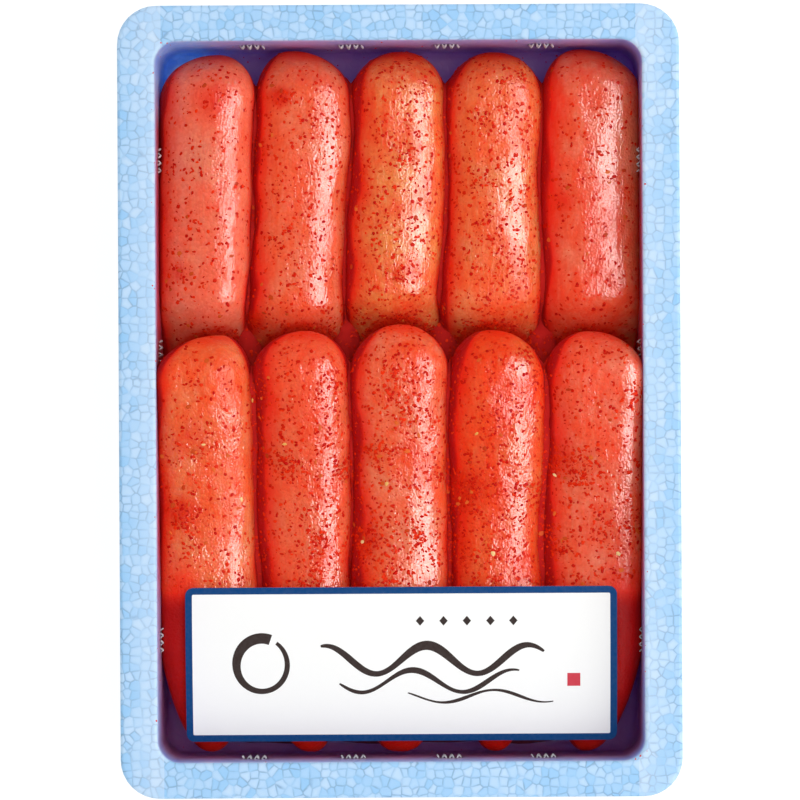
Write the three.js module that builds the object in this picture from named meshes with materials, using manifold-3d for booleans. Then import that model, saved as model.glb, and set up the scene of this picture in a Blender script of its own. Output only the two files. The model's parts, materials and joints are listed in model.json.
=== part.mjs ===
// A foam tray of spicy pollock roe: ten whole roe sacs in two overlapping rows of five, with a
// paper card laid over the front row.
// Millimetres. +X is to the right, +Y towards the back row, +Z up. The origin is the middle of
// the tray's base.
import * as THREE from "three";
import { mergeVertices } from "three/addons/utils/BufferGeometryUtils.js";
import Module from "manifold-3d";

const wasm = await Module();
wasm.setup();

// The moulded foam tray.
const TRAY = {
  width: 180,
  length: 254,
  height: 48,
  sideRim: 12, // width of the flat rim on the long sides
  endRim: 11.5, // width of the flat rim at the two ends
  floor: 9, // thickness of the floor
  outerLean: 3.5, // how far the outside comes in from rim to base
  cavityLean: 0.9, // how far the cavity comes in from rim to floor
  outerCorner: 12.5,
  innerCorner: 7.2,
  edge: 1.2, // rounding of the rim's and the base's edges
  fillet: 3, // rounding where the cavity's walls meet its floor
  cornerSteps: 6,
};

// Round vent marks that the mould leaves on the cavity's walls, sunk by a hair.
const VENTS = {
  diameter: 9.5,
  sunk: 0.3,
  sides: 12,
  z: 31,
  endX: [-47.5, -15.5, 15.5, 46],
  sideY: [78, 16, -77],
};

// What all ten roe sacs share. Each one is a soft sausage with a round head and a slim tail.
const SAC = {
  headDome: 16, // length of the rounded head
  tailTaper: 37, // length over which the tail narrows
  boxinessOver: 2.5, // superellipse power above the middle
  boxinessWall: 3.6, // above the middle where a sac presses on the tray's wall
  boxinessUnder: 3, // below the middle, where the sac lies flat
  gap: 0.3, // clearance between neighbours, and to the tray
  aroundSteps: 20,
  headSteps: 5,
  bodySteps: 12,
  tailSteps: 4,
  tailTip: 12, // length of the tail's own tip, where the steps crowd together
};

// The lines along which neighbours press together, from left to right: their X near the heads,
// their X further down, and the Y of both stations.
const BACK_ROW = {
  seamsAtHead: [-75.8, -46.7, -15.3, 15.3, 46.1, 76.9],
  seamsAtFoot: [-77.3, -49.2, -18.3, 13.6, 45.8, 77.1],
  headStation: 88,
  footStation: 30,
  sway: 0.45, // how far a seam waves from side to side
  tipRestHead: 0.4, // height of a head's tip, as a share of the thickness
  tipRestTail: 0.3,
  squash: 0.58, // how much thinner a tail gets under the sac that lies on it
  squashFrom: 46.5, // distance from the tail's tip where that begins
  squashTo: 29.5,
};
const FRONT_ROW = {
  seamsAtHead: [-77.5, -47.5, -15.7, 15.3, 46.8, 77.5],
  seamsAtFoot: [-77.3, -46.2, -16.2, 15.5, 45.5, 77.3],
  headStation: 0,
  footStation: -52,
  sway: 0.45,
  tipRestHead: 0.26,
  tipRestTail: 0.42,
  squash: 0,
  squashFrom: 2,
  squashTo: 1,
};

// How a front sac comes down from the tail that its head lies on to the tray's floor. The last
// few millimetres of its head, the overhang, are round and clear the tail by themselves.
const LANDING = { floorY: -55, liftedY: 30, overhang: 5 };

// The ten sacs from left to right: the head's tip, the tail's tip, the thickness, and the power
// that makes the tail slim or blunt.
const BACK_SACS = [
  { headX: -58.6, headY: 113.1, tailX: -62, tailY: -14, thick: 30.5, tail: 0.36 },
  { headX: -35, headY: 114.2, tailX: -34, tailY: -16, thick: 28.8, tail: 0.35 },
  { headX: 0.8, headY: 113.9, tailX: -3, tailY: -12, thick: 29.6, tail: 0.37 },
  { headX: 31.2, headY: 113.6, tailX: 28, tailY: -15, thick: 29, tail: 0.35 },
  { headX: 58, headY: 114.2, tailX: 60, tailY: -13, thick: 28.4, tail: 0.36 },
];
const FRONT_SACS = [
  { headX: -57.6, headY: 21.7, tailX: -61.8, tailY: -113.5, thick: 27.2, tail: 0.44 },
  { headX: -30.4, headY: 22.9, tailX: -29.2, tailY: -113.8, thick: 26.4, tail: 0.39 },
  { headX: 0.2, headY: 24.9, tailX: -0.9, tailY: -113.8, thick: 27.4, tail: 0.36 },
  { headX: 29, headY: 22.9, tailX: 30, tailY: -113.7, thick: 26.6, tail: 0.42 },
  { headX: 61, headY: 22.4, tailX: 59.4, tailY: -113.9, thick: 27, tail: 0.44 },
];

// The paper card, which follows the sacs under it in one soft bend.
const CARD = {
  width: 139.2,
  backY: -59.8,
  frontY: -109.8,
  x: 0,
  thick: 0.5,
  corner: 2.6,
  bend: 0.0026, // fall of the bend, in millimetres for each square millimetre
  steps: 8,
  cornerSteps: 3,
  gap: 0.35,
};

// The largest chilli flakes, fused to the sacs' upper sides.
const FLAKES = {
  perSac: 12,
  longest: 1.35,
  shortest: 0.85, // half lengths
  flatness: 0.42,
  firstPoint: 2, // the flakes lie on points 2 to 8 around a sac, with the crest at point 5
  points: 7,
  seed: 20,
};

const COLOURS = {
  foam: 0xaed6f5,
  roe: 0xe8604a,
  card: 0xf7f7f5,
};

const mix = (a, b, t) => a + (b - a) * t;
const clamp01 = (t) => Math.min(1, Math.max(0, t));
const smooth = (t) => clamp01(t) ** 2 * (3 - 2 * clamp01(t));
const levelOff = (v, n) => v / (1 + v ** n) ** (1 / n); // rises to 1, sharply for a high n

// A small seeded generator, so that every run gives the same flakes.
function seeded(seed) {
  let state = seed >>> 0;
  return () => {
    state = (Math.imul(state, 1664525) + 1013904223) >>> 0;
    return state / 4294967296;
  };
}

// A closed surface through rings of equal length, with a point at each end.
function loft(rings, firstTip, lastTip) {
  const count = rings[0].length;
  const points = [...rings.flat(), firstTip, lastTip];
  const first = points.length - 2;
  const last = points.length - 1;
  const faces = [];
  for (let j = 0; j < count; j++) {
    const next = (j + 1) % count;
    faces.push(first, next, j);
    for (let i = 0; i + 1 < rings.length; i++) {
      const low = i * count;
      const high = low + count;
      faces.push(low + j, low + next, high + next);
      faces.push(low + j, high + next, high + j);
    }
    const end = (rings.length - 1) * count;
    faces.push(last, end + j, end + next);
  }
  const geometry = new THREE.BufferGeometry();
  geometry.setAttribute("position", new THREE.Float32BufferAttribute(points.flat(), 3));
  geometry.setIndex(faces);
  geometry.computeVertexNormals();
  return geometry;
}

// One level of the tray: a rounded rectangle, counter-clockwise from above.
function roundedRing(halfX, halfY, radius, z) {
  const ring = [];
  const corners = [
    [1, 1],
    [-1, 1],
    [-1, -1],
    [1, -1],
  ];
  corners.forEach(([sx, sy], quarter) => {
    for (let k = 0; k <= TRAY.cornerSteps; k++) {
      const turn = (quarter + k / TRAY.cornerSteps) * (Math.PI / 2);
      ring.push([
        sx * (halfX - radius) + radius * Math.cos(turn),
        sy * (halfY - radius) + radius * Math.sin(turn),
        z,
      ]);
    }
  });
  return ring;
}

// A quarter round in the tray's wall section, as steps of [share inwards, share up].
const quarterRound = (steps, shape) =>
  Array.from({ length: steps + 1 }, (_, k) => shape((k / steps) * (Math.PI / 2)));

function trayGeometry() {
  const { width, length, height, edge, fillet, floor } = TRAY;
  const outer = (inset, z) =>
    roundedRing(width / 2 - inset, length / 2 - inset, TRAY.outerCorner - inset * 0.5, z);
  const inner = (inset, z) =>
    roundedRing(
      width / 2 - TRAY.sideRim - inset,
      length / 2 - TRAY.endRim - inset,
      TRAY.innerCorner - inset * 0.5,
      z,
    );
  const lean = TRAY.outerLean;
  const rings = [
    ...quarterRound(2, (a) => outer(lean + edge * (1 - Math.sin(a)), edge * (1 - Math.cos(a)))),
    ...quarterRound(2, (a) => outer(edge * (1 - Math.cos(a)), height - edge * (1 - Math.sin(a)))),
    ...quarterRound(2, (a) => inner(-edge * (1 - Math.sin(a)), height - edge * (1 - Math.cos(a)))),
    ...quarterRound(3, (a) =>
      inner(TRAY.cavityLean + fillet * (1 - Math.cos(a)), floor + fillet * (1 - Math.sin(a))),
    ),
  ];
  let solid = toSolid(loft(rings, [0, 0, 0], [0, 0, floor]));
  for (const side of [-1, 1]) {
    for (const x of VENTS.endX) solid = solid.subtract(ventDisc(x, side, Math.PI / 2));
    for (const y of VENTS.sideY) solid = solid.subtract(ventDisc(y, side, 0));
  }
  return toGeometry(solid);
}

// The disc that one vent mark takes out of a wall. A turn of 0 faces the long walls and a
// quarter turn the end walls; along is the disc's place on its wall.
function ventDisc(along, side, turn) {
  const lean = (TRAY.cavityLean * (TRAY.height - VENTS.z)) / (TRAY.height - TRAY.floor);
  const toSide = TRAY.width / 2 - TRAY.sideRim - lean;
  const toEnd = TRAY.length / 2 - TRAY.endRim - lean;
  const reach = turn === 0 ? toSide : toEnd;
  const disc = new THREE.CylinderGeometry(
    VENTS.diameter / 2,
    VENTS.diameter / 2,
    2 * VENTS.sunk,
    VENTS.sides,
  ).rotateZ(Math.PI / 2);
  const place = turn === 0 ? [side * reach, along, VENTS.z] : [along, side * reach, VENTS.z];
  return toSolid(disc.rotateZ(turn).translate(...place));
}

// X of seam k of a row at height y of the tray, with a slight wave that both neighbours share.
function seamX(row, k, y) {
  const along = clamp01((row.headStation - y) / (row.headStation - row.footStation));
  const wave = k === 0 || k === 5 ? 0 : row.sway * Math.sin(y * 0.11 + k * 2.3);
  return mix(row.seamsAtHead[k], row.seamsAtFoot[k], smooth(along)) + wave;
}

// How full a sac is at y: 1 along its body, falling to 0 at both tips.
function fullness(sac, y, sharpness = 8) {
  const fromHead = clamp01((sac.headY - y) / SAC.headDome);
  const fromTail = Math.max(0, y - sac.tailY) / SAC.tailTaper;
  return Math.sqrt(1 - (1 - fromHead) ** 2) * levelOff(1.02 * fromTail ** sac.tail, sharpness);
}

// The thickness left at y, once the sac above has pressed the tail flat.
function thicknessAt(row, sac, y) {
  const fromTail = y - sac.tailY;
  const pressed = 1 - smooth((fromTail - row.squashTo) / (row.squashFrom - row.squashTo));
  return sac.thick * (1 - row.squash * pressed);
}

// Height of a tip above what the sac lies on, as a share of the thickness.
function tipRest(row, sac, y) {
  return mix(row.tipRestTail, row.tipRestHead, smooth((y - sac.tailY) / (sac.headY - sac.tailY)));
}

// Underside and top of a sac's middle line above the surface that it lies on.
function heightsAt(row, sac, y) {
  const full = fullness(sac, y);
  const thick = thicknessAt(row, sac, y);
  const under = thick * tipRest(row, sac, y) * (1 - full);
  return { under, over: under + thick * full };
}

// The height of the ramp from the tray's floor up to the tail under a front sac.
const rampShare = (y) =>
  smooth((y - LANDING.floorY) / (LANDING.liftedY - LANDING.floorY));

function liftOver(backSac, frontSac) {
  let lift = 0;
  for (let y = backSac.tailY + 0.5; y < frontSac.headY - LANDING.overhang; y += 0.5) {
    const needed = heightsAt(BACK_ROW, backSac, y).over + SAC.gap;
    lift = Math.max(lift, needed / rampShare(y));
  }
  return lift;
}

// One sac's section at y: its middle, its half width and its half height.
function sectionAt(row, sac, index, base, y) {
  const full = fullness(sac, y);
  const left = seamX(row, index, y) + SAC.gap / 2;
  const right = seamX(row, index + 1, y) - SAC.gap / 2;
  const nearerTip = y < (sac.headY + sac.tailY) / 2 ? sac.tailX : sac.headX;
  const { under, over } = heightsAt(row, sac, y);
  return {
    x: mix((left + right) / 2, nearerTip, 1 - full),
    z: base(y) + (under + over) / 2,
    halfWidth: ((right - left) / 2) * fullness(sac, y, 24),
    halfHeight: (over - under) / 2,
  };
}

// A point of a sac's skin. Angle 0 is its right side and a quarter turn its crest.
function skinPoint(row, sac, index, base, y, angle) {
  const s = sectionAt(row, sac, index, base, y);
  const atWall = index === (Math.cos(angle) < 0 ? 0 : 4);
  const boxinessOver = atWall ? SAC.boxinessWall : SAC.boxinessOver;
  const power = 2 / (Math.sin(angle) > 0 ? boxinessOver : SAC.boxinessUnder);
  const bulge = (v) => Math.sign(v) * Math.abs(v) ** power;
  return [
    s.x + s.halfWidth * bulge(Math.cos(angle)),
    y,
    s.z + s.halfHeight * bulge(Math.sin(angle)),
  ];
}

// The values of Y at which a sac's skin has a ring of points, from head to tail.
function ringStations(sac) {
  const stations = [];
  for (let i = 1; i < SAC.headSteps; i++) {
    const turn = (i / SAC.headSteps) * (Math.PI / 2);
    stations.push(sac.headY - SAC.headDome * (1 - Math.cos(turn)));
  }
  for (let i = 0; i < SAC.bodySteps; i++) {
    const from = sac.headY - SAC.headDome;
    stations.push(mix(from, sac.tailY + SAC.tailTip, i / SAC.bodySteps));
  }
  for (let i = SAC.tailSteps; i > 0; i--) {
    stations.push(sac.tailY + SAC.tailTip * (i / SAC.tailSteps) ** 2);
  }
  return stations;
}

const sacRings = (row, sac, index, base) =>
  ringStations(sac).map((y) =>
    Array.from({ length: SAC.aroundSteps }, (_, k) =>
      skinPoint(row, sac, index, base, y, (k / SAC.aroundSteps) * 2 * Math.PI),
    ),
  );

// A flat eight-sided flake, lying on point k of ring i.
function flakeGeometry(rings, i, k, size, turn) {
  const point = (ring, j) => new THREE.Vector3(...ring[j]);
  const across = point(rings[i], k + 1).sub(point(rings[i], k - 1));
  const along = point(rings[i + 1], k).sub(point(rings[i - 1], k));
  const outwards = new THREE.Vector3().crossVectors(across, along).normalize();
  const lie = new THREE.Quaternion().setFromUnitVectors(new THREE.Vector3(0, 0, 1), outwards);
  return new THREE.OctahedronGeometry(1)
    .scale(size, size * 0.7, size * FLAKES.flatness)
    .rotateZ(turn)
    .applyQuaternion(lie)
    .translate(...rings[i][k]);
}

function toSolid(geometry) {
  const bare = new THREE.BufferGeometry();
  bare.setAttribute("position", geometry.getAttribute("position"));
  if (geometry.index) bare.setIndex(geometry.index);
  const merged = mergeVertices(bare, 1e-4);
  return new wasm.Manifold(
    new wasm.Mesh({
      numProp: 3,
      vertProperties: merged.attributes.position.array,
      triVerts: new Uint32Array(merged.index.array),
    }),
  );
}

function toGeometry(solid) {
  const mesh = solid.getMesh();
  const geometry = new THREE.BufferGeometry();
  geometry.setAttribute("position", new THREE.BufferAttribute(mesh.vertProperties, 3));
  geometry.setIndex(new THREE.BufferAttribute(mesh.triVerts, 1));
  geometry.computeVertexNormals();
  return geometry;
}

// One sac, with the largest flakes fused to its upper side between two values of Y.
function sacGeometry(row, sac, index, base, fromY, toY, random) {
  const rings = sacRings(row, sac, index, base);
  const tip = (y) => {
    const s = sectionAt(row, sac, index, base, y);
    return [s.x, y, s.z];
  };
  let solid = toSolid(loft(rings, tip(sac.headY), tip(sac.tailY)));
  const open = rings.map((ring, i) => i).filter((i) => rings[i][0][1] < fromY && rings[i][0][1] > toY);
  for (let n = 0; n < FLAKES.perSac; n++) {
    const i = open[Math.floor(((n + random()) / FLAKES.perSac) * open.length)];
    const k = FLAKES.firstPoint + Math.floor(random() * FLAKES.points);
    const size = mix(FLAKES.shortest, FLAKES.longest, random());
    solid = solid.add(toSolid(flakeGeometry(rings, i, k, size, random() * Math.PI)));
  }
  return toGeometry(solid);
}

function mesh(name, geometry, color, roughness) {
  const material = new THREE.MeshStandardMaterial({ color, roughness, metalness: 0 });
  const made = new THREE.Mesh(geometry, material);
  made.name = name;
  return made;
}

const floorLevel = TRAY.floor + SAC.gap;
const backBase = () => floorLevel;
const frontBase = (index) => {
  const lift = liftOver(BACK_SACS[index], FRONT_SACS[index]);
  return (y) => floorLevel + lift * rampShare(y);
};

function backRow(random) {
  return BACK_SACS.map((sac, index) => {
    const nearest = FRONT_SACS[index].headY + 6;
    const geometry = sacGeometry(BACK_ROW, sac, index, backBase, sac.headY - 6, nearest, random);
    return mesh(`roe_back_${index + 1}`, geometry, COLOURS.roe, 0.35);
  });
}

function frontRow(random) {
  return FRONT_SACS.map((sac, index) => {
    const base = frontBase(index);
    const nearest = CARD.backY + 4;
    const geometry = sacGeometry(FRONT_ROW, sac, index, base, sac.headY - 5, nearest, random);
    return mesh(`roe_front_${index + 1}`, geometry, COLOURS.roe, 0.35);
  });
}

// How far the bent card has fallen at y, measured from its back edge.
const cardFall = (y) => CARD.bend * (CARD.backY - y) ** 2;

// The height of the card's back edge, at which the card just clears the highest crest.
function cardLevel() {
  let level = 0;
  FRONT_SACS.forEach((sac, index) => {
    for (let y = CARD.frontY; y <= CARD.backY; y += 0.5) {
      const crest = frontBase(index)(y) + heightsAt(FRONT_ROW, sac, y).over;
      level = Math.max(level, crest + cardFall(y));
    }
  });
  return level + CARD.gap + CARD.thick / 2;
}

function cardGeometry() {
  const level = cardLevel();
  const half = CARD.thick / 2;
  const stations = [];
  for (let k = 0; k <= CARD.cornerSteps; k++) {
    const turn = (k / CARD.cornerSteps) * (Math.PI / 2);
    stations.push([CARD.corner * (1 - Math.cos(turn)), CARD.corner * (1 - Math.sin(turn))]);
  }
  const length = CARD.backY - CARD.frontY;
  const front = stations.map(([inwards, narrower]) => [length - inwards, narrower]).reverse();
  const middle = [];
  for (let k = 1; k < CARD.steps; k++) {
    middle.push([mix(CARD.corner, length - CARD.corner, k / CARD.steps), 0]);
  }
  const rings = [...stations, ...middle, ...front].map(([fromBack, narrower]) => {
    const y = CARD.backY - fromBack;
    const z = level - cardFall(y);
    const reach = CARD.width / 2 - narrower;
    return [
      [CARD.x + reach, y, z - half],
      [CARD.x + reach, y, z + half],
      [CARD.x - reach, y, z + half],
      [CARD.x - reach, y, z - half],
    ];
  });
  const cap = (y) => [CARD.x, y, level - cardFall(y)];
  return loft(rings, cap(CARD.backY), cap(CARD.frontY));
}

const random = seeded(FLAKES.seed);
const pack = new THREE.Group();
pack.add(mesh("tray", trayGeometry(), COLOURS.foam, 0.6));
pack.add(...backRow(random));
pack.add(...frontRow(random));
pack.add(mesh("label_card", cardGeometry(), COLOURS.card, 0.55));

export default pack;
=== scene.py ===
"""Looks of a foam tray of spicy pollock roe: ten whole sacs in two overlapping rows, dusted with
chilli, and a bordered card laid over the front row. Metres, +X right, +Y towards the back row."""

import json
import math
import random

import bmesh
import bpy
from bpy.props import (
    CollectionProperty,
    FloatProperty,
    FloatVectorProperty,
    IntProperty,
    PointerProperty,
)
from mathutils import Matrix, Vector, noise
from mathutils.bvhtree import BVHTree

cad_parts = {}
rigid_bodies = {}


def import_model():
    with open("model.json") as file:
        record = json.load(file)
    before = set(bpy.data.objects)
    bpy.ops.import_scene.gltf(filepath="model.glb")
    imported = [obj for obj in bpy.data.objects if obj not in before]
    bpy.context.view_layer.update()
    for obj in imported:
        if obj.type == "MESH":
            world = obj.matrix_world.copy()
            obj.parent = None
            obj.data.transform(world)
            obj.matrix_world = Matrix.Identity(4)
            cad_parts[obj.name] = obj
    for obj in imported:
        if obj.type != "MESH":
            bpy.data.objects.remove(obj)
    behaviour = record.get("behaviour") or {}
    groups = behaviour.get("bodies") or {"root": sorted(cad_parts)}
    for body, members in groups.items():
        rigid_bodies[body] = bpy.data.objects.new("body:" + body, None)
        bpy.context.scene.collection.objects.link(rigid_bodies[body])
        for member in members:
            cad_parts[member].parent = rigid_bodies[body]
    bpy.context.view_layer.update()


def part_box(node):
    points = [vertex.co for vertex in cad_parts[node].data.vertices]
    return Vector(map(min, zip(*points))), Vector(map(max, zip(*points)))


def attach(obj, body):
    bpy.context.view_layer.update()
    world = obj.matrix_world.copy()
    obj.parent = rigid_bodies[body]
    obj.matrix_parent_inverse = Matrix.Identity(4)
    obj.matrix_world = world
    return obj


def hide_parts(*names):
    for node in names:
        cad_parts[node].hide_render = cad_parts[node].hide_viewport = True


bl_info = {
    "name": "Spicy pollock roe tray",
    "version": (1, 0, 0),
    "blender": (4, 5, 0),
    "location": "3D View > Sidebar > Roe tray",
    "description": "Builds a foam gift tray of chilli-dusted pollock roe sacs",
    "category": "Add Mesh",
}

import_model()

MM = 0.001
SACS_IN_ROW = 5
TRAY_LOW, TRAY_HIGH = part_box("tray")
CARD_LOW, CARD_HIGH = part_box("label_card")
FRONT_NODES = [f"roe_front_{number}" for number in range(1, SACS_IN_ROW + 1)]
LIE = 9.3 * MM  # height at which the back row lies, just over the tray's floor

# The photograph's frame: its width in pixels, and where the tray's centre lies in it.
PHOTO_PIXELS = 800
PHOTO_CENTRE = (399.8, 401.0)
PHOTO_SCALE = 0.32 * MM  # metres to a pixel at the rim's height

# Each sac from left to right, in millimetres: the head's tip, the tail's tip, the thickness and
# the power that makes the tail slim or blunt. Then its skin, its pale bloom, how many flakes lie
# on it, how wet it shines, and how far it has rolled: the rise of its crest from left to right.
BACK_SACS = (
    (-58.6, 113.1, -62, -14, 30.5, 0.36, "#FF7050", "#F29070", 380, 0.6, 0.14),
    (-35.0, 114.2, -34, -16, 28.8, 0.35, "#FC6238", "#F68D68", 620, 0.7, 0.02),
    (0.8, 113.9, -3, -12, 29.6, 0.37, "#FA5C2C", "#F7A058", 790, 0.5, 0.0),
    (31.2, 113.6, 28, -15, 29.0, 0.35, "#FC6430", "#F6985F", 860, 0.5, 0.0),
    (58.0, 114.2, 60, -13, 28.4, 0.36, "#F65430", "#F5906C", 360, 0.66, -0.04),
)
FRONT_SACS = (
    (-57.6, 21.7, -61.8, -113.5, 27.2, 0.44, "#FC5E2C", "#F4905C", 380, 0.5, 0.0),
    (-30.4, 22.9, -29.2, -113.8, 26.4, 0.39, "#FE5630", "#F47850", 790, 0.6, 0.03),
    (0.2, 24.9, -0.9, -113.8, 27.4, 0.36, "#FE5628", "#F58E68", 940, 0.6, 0.0),
    (29.0, 22.9, 30.0, -113.7, 26.6, 0.42, "#FF4818", "#F0743C", 900, 0.6, 0.0),
    # The right sac's bloom is paler as a painted highlight, for the shine that the rim keeps off its
    # right shoulder.
    (61.0, 22.4, 59.4, -113.9, 27.0, 0.44, "#FF5A38", "#FA9070", 720, 0.7, 0.12),
)

# Blotches of chilli paste on the skin: X, Y and radius in millimetres, and strength.
PASTE_SPOTS = (
    (-60, 97, 9, 0.7),
    (-38, 98, 4.5, 1.0),
    (-71, 42, 5, 0.6),
    (-46.5, 26, 5, 0.8),
    (53, 64, 5, 0.7),
    (-67, -12, 9, 0.6),
    (-70, -35, 6, 0.9),
    (-10, -45, 8, 0.6),
    (22, -28, 9, 0.7),
    (51, -20, 8, 0.5),
)


def linear(hex_colour):
    """An sRGB hex value as the linear colour that a shader takes."""
    parts = [int(hex_colour[i : i + 2], 16) / 255 for i in (1, 3, 5)]
    return [c / 12.92 if c <= 0.04045 else ((c + 0.055) / 1.055) ** 2.4 for c in parts]


def mix(a, b, t):
    return a + (b - a) * t


def clamp01(t):
    return min(1.0, max(0.0, t))


def smooth(t):
    t = clamp01(t)
    return t * t * (3 - 2 * t)


def level_off(v, power=8):
    """Rises with v to 1 and stays there, with a tighter bend at a higher power."""
    return v / (1 + v**power) ** (1 / power)


class TrayProps(bpy.types.PropertyGroup):
    side_rim: FloatProperty(
        name="Side rim", description="Width of the rim on the long sides", unit="LENGTH", default=12 * MM
    )
    end_rim: FloatProperty(
        name="End rim", description="Width of the rim at the ends", unit="LENGTH", default=11.5 * MM
    )
    floor: FloatProperty(
        name="Floor", description="Thickness of the floor", unit="LENGTH", default=9 * MM
    )
    outer_lean: FloatProperty(
        name="Outer lean",
        description="How far the outside comes in from rim to base",
        unit="LENGTH",
        default=3.5 * MM,
    )
    cavity_lean: FloatProperty(
        name="Cavity lean",
        description="How far the cavity comes in from rim to floor",
        unit="LENGTH",
        default=0.9 * MM,
    )
    outer_corner: FloatProperty(
        name="Outer corner", description="Radius of the outer corners", unit="LENGTH", default=12.5 * MM
    )
    inner_corner: FloatProperty(
        name="Inner corner", description="Radius of the cavity's corners", unit="LENGTH", default=7.2 * MM
    )
    edge: FloatProperty(
        name="Edge", description="Rounding of the rim and the base", unit="LENGTH", default=1.2 * MM
    )
    fillet: FloatProperty(
        name="Fillet", description="Rounding at the cavity's floor", unit="LENGTH", default=3 * MM
    )
    vent: FloatProperty(
        name="Vent mark", description="Diameter of a vent mark", unit="LENGTH", default=9.5 * MM
    )
    vent_height: FloatProperty(
        name="Vent height", description="Height of the vent marks", unit="LENGTH", default=31 * MM
    )
    bead: FloatProperty(
        name="Bead", description="Width of one foam bead", unit="LENGTH", default=2.85 * MM
    )
    foam_light: FloatVectorProperty(
        name="Light bead", description="Colour of the palest beads", subtype="COLOR",
        default=linear("#C2DDF7"),
    )
    foam_dark: FloatVectorProperty(
        name="Dark bead", description="Colour of the bluest beads", subtype="COLOR",
        default=linear("#94C8F2"),
    )
    foam_seam: FloatVectorProperty(
        name="Seam", description="Colour between the beads", subtype="COLOR",
        default=linear("#7696B8"),
    )


class SacProps(bpy.types.PropertyGroup):
    head_x: FloatProperty(name="Head side", description="X of the head's tip", unit="LENGTH")
    head_y: FloatProperty(name="Head", description="Y of the head's tip", unit="LENGTH")
    tail_y: FloatProperty(name="Tail", description="Y of the tail's tip", unit="LENGTH")
    tail_x: FloatProperty(name="Tail side", description="X of the tail's tip", unit="LENGTH")
    thick: FloatProperty(name="Thickness", description="Height of the body", unit="LENGTH")
    slimness: FloatProperty(name="Tail power", description="Low values make a blunt tail")
    skin: FloatVectorProperty(name="Skin", description="Colour of the skin", subtype="COLOR")
    bloom: FloatVectorProperty(name="Bloom", description="Colour of its pale patches", subtype="COLOR")
    flakes: IntProperty(name="Flakes", description="How many chilli flakes lie on it")
    wetness: FloatProperty(name="Wetness", description="How smooth and wet the skin is")
    roll: FloatProperty(name="Roll", description="Rise of the crest from left to right, as a slope")
    lift: FloatProperty(
        name="Lift", description="Rise of the head over the tail under it", unit="LENGTH"
    )


class RowProps(bpy.types.PropertyGroup):
    seams_at_head: FloatVectorProperty(
        name="Seams at the heads", description="X of the lines between neighbours", size=6,
        unit="LENGTH",
    )
    seams_at_foot: FloatVectorProperty(
        name="Seams further down", description="X of the same lines near the tails", size=6,
        unit="LENGTH",
    )
    head_station: FloatProperty(name="Head station", description="Y of the first", unit="LENGTH")
    foot_station: FloatProperty(name="Foot station", description="Y of the second", unit="LENGTH")
    tip_rest_head: FloatProperty(name="Head rest", description="Height of a head's tip, as a share")
    tip_rest_tail: FloatProperty(name="Tail rest", description="Height of a tail's tip, as a share")
    squash: FloatProperty(name="Squash", description="How much thinner a tail gets under a head")
    wall_power: FloatProperty(name="Wall power", description="Superellipse power at the tray's wall")
    sacs: CollectionProperty(type=SacProps)


class RoeProps(bpy.types.PropertyGroup):
    head_dome: FloatProperty(
        name="Head dome", description="Length of the rounded head", unit="LENGTH", default=16 * MM
    )
    tail_taper: FloatProperty(
        name="Tail taper", description="Length over which the tail narrows", unit="LENGTH",
        default=37 * MM,
    )
    boxiness_over: FloatProperty(
        name="Upper power", description="Superellipse power above the middle", default=2.5
    )
    boxiness_under: FloatProperty(
        name="Lower power", description="Superellipse power below the middle", default=3.0
    )
    wall_press: FloatProperty(
        name="Wall press", description="How far the outer sacs press into the soft walls",
        unit="LENGTH", default=1.9 * MM,
    )
    # The seasoning strips in the folds also stand as painted shade there.
    fold_level: FloatProperty(
        name="Fold level", description="How high the seasoning stands in the folds, as a share",
        default=0.42,
    )
    press: FloatProperty(
        name="Press", description="How far pressed neighbours meet past their seam", unit="LENGTH",
        default=0.5 * MM,
    )
    sway: FloatProperty(
        name="Sway", description="How far a seam waves", unit="LENGTH", default=0.45 * MM
    )
    squash_from: FloatProperty(
        name="Squash start", description="Distance from the tip where a tail begins to thin",
        unit="LENGTH", default=49 * MM,
    )
    squash_to: FloatProperty(
        name="Squash end", description="Distance from the tip where it is thinnest",
        unit="LENGTH", default=28.5 * MM,
    )
    ramp_low: FloatProperty(
        name="Landing", description="Y where a front sac reaches the floor", unit="LENGTH",
        default=-55 * MM,
    )
    ramp_high: FloatProperty(
        name="Lifted", description="Y where its ramp ends", unit="LENGTH", default=30 * MM
    )
    # Painted shade on the front tails begins at this Y.
    tail_shade_from: FloatProperty(
        name="Soaked", description="Y from which the front tails are soaked dark", unit="LENGTH",
        default=-58 * MM,
    )
    dents: FloatProperty(
        name="Dents", description="Depth of the broad dents", unit="LENGTH", default=0.8 * MM
    )
    wrinkles: FloatProperty(
        name="Wrinkles", description="Depth of the fine wrinkles", unit="LENGTH", default=0.26 * MM
    )
    around: IntProperty(name="Around", description="Faces around a sac", default=96)
    along: IntProperty(name="Along", description="Faces along a sac", default=150)
    back: PointerProperty(type=RowProps)
    front: PointerProperty(type=RowProps)


class CardProps(bpy.types.PropertyGroup):
    thick: FloatProperty(
        name="Thickness", description="Thickness of the card", unit="LENGTH", default=0.5 * MM
    )
    corner: FloatProperty(
        name="Corner", description="Radius of its corners", unit="LENGTH", default=2.6 * MM
    )
    border: FloatProperty(
        name="Border", description="Width of the printed border", unit="LENGTH", default=2.2 * MM
    )
    bend: FloatProperty(
        name="Bend", description="Fall of the bend for each square metre", default=2.6
    )
    steps: IntProperty(name="Steps", description="Faces along the bend", default=24)


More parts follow.
